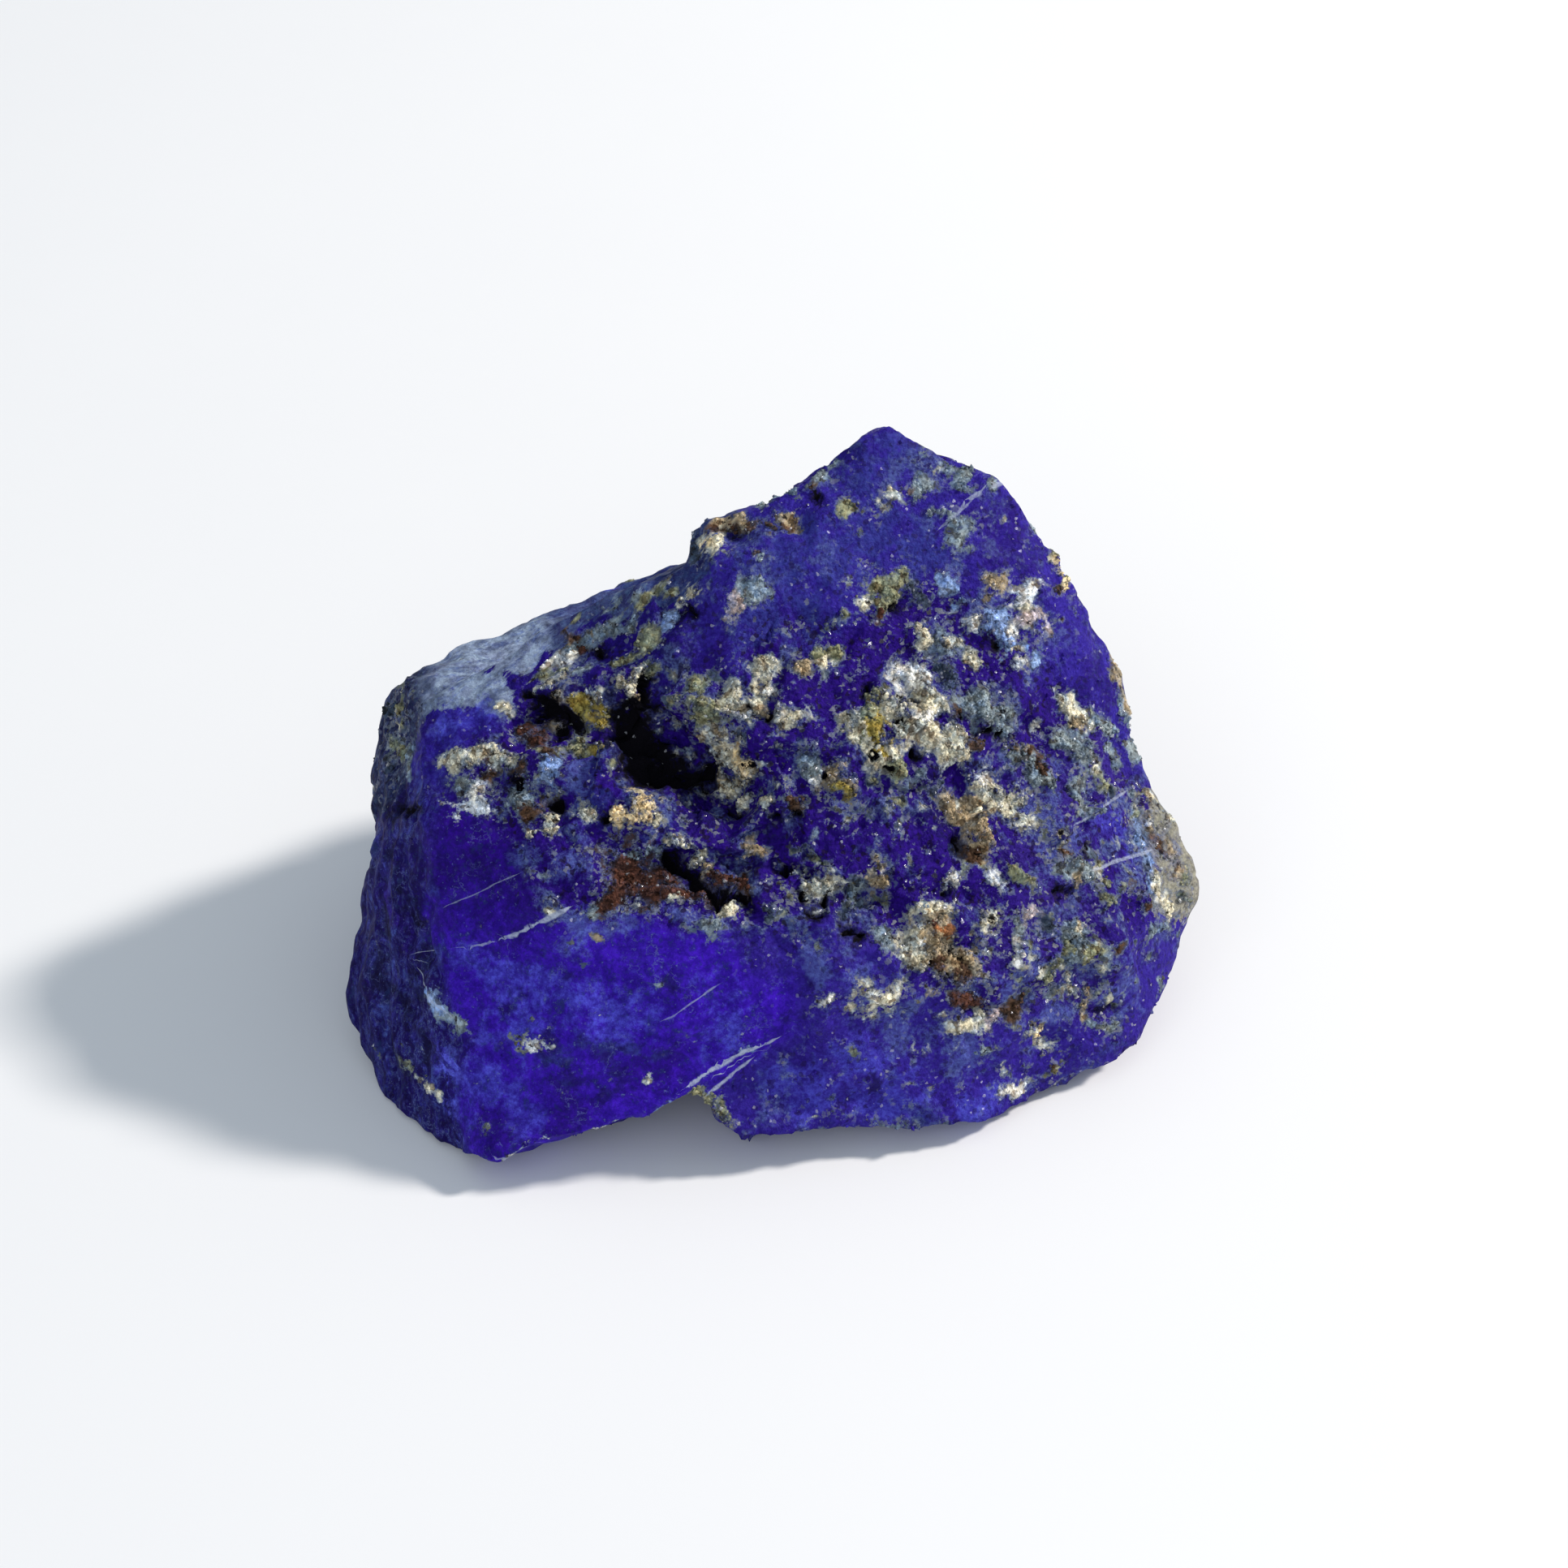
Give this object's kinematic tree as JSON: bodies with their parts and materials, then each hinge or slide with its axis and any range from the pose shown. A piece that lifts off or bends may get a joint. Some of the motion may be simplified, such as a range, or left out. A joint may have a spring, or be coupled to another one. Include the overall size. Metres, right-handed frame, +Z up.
{
  "type": "rough lapis lazuli stone",
  "caption": "Rough broken lump of lapis lazuli, deep blue with cream calcite patches, pits and veins; a natural specimen that rests on its flat underside.",
  "frame": {"origin": "on the resting surface, under the middle of the stone's bounding box", "axes": "+X along the longest extent, towards the rounded right end; +Y to the back, away from the large front faces; +Z up"},
  "size_m": [0.0534, 0.0389, 0.0344],
  "materials": {
    "lapis": "matte"
  },
  "bodies": {
    "root": {"lapis_stone": "lapis"}
  },
  "joints": []
}
